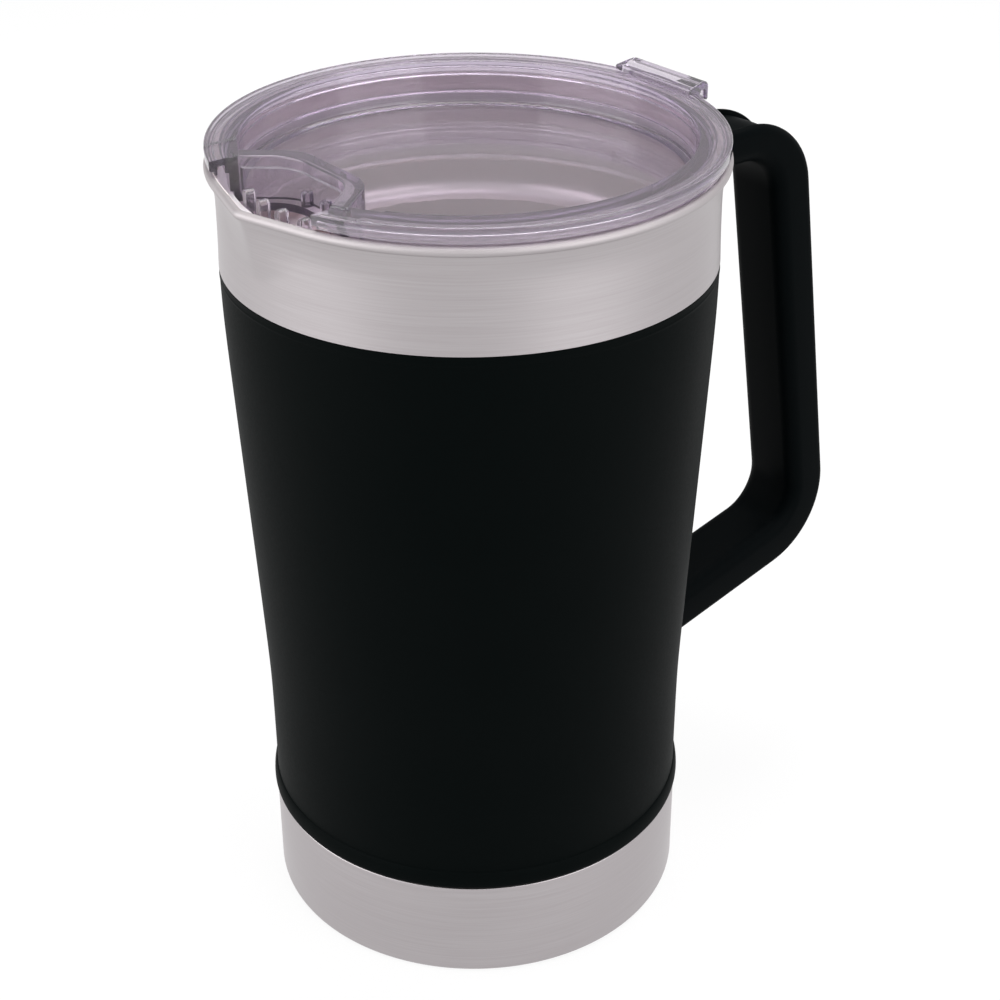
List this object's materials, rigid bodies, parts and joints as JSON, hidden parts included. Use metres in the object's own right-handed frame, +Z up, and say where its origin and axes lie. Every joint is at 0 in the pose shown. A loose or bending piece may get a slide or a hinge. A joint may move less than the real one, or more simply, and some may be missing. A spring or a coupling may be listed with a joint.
{
  "type": "thermal jug",
  "caption": "Double-walled steel jug with a black coated body, pressed pouring spout, moulded side handle and a clear lift-off lid with a strainer notch and thumb tab.",
  "frame": {"origin": "centre of the flat base, on the jug's axis", "axes": "+Z up along the jug's axis, +X towards the handle, -X towards the spout"},
  "size_m": [0.2208, 0.1452, 0.2492],
  "materials": {
    "black_coat": "matte powder coat",
    "steel": "brushed round the body",
    "liner_steel": "satin",
    "copper_foil": "bright foil",
    "getter": "sintered",
    "handle_plastic": "satin moulded",
    "fixing_steel": "zinc plated",
    "clear_plastic": "clear, mauve tint",
    "silicone": "milky, translucent"
  },
  "bodies": {
    "jug": {"outer_shell": "black_coat", "collar": "steel", "inner_liner": "liner_steel", "insulation_foil": "copper_foil", "base_cup": "steel", "base_cap": "steel", "vacuum_seal": "steel", "getter_pellet": "getter", "getter_clip": "steel", "handle_body": "handle_plastic", "handle_cover": "handle_plastic", "upper_stud": "fixing_steel", "lower_stud": "fixing_steel", "upper_screw": "fixing_steel", "lower_screw": "fixing_steel"},
    "gasket_ring": {"lid_gasket": "silicone"},
    "lid_moulding": {"lid": "clear_plastic"}
  },
  "joints": [
    {"name": "lid_lift", "type": "slide", "parent": "jug", "child": "gasket_ring", "axis": [0, 0, 1], "range_m": [0, 0.08]},
    {"name": "lid_turn", "type": "hinge", "parent": "gasket_ring", "child": "lid_moulding", "pos_m": [0, 0, 0.2415], "axis": [0, 0, 1], "continuous": true}
  ]
}
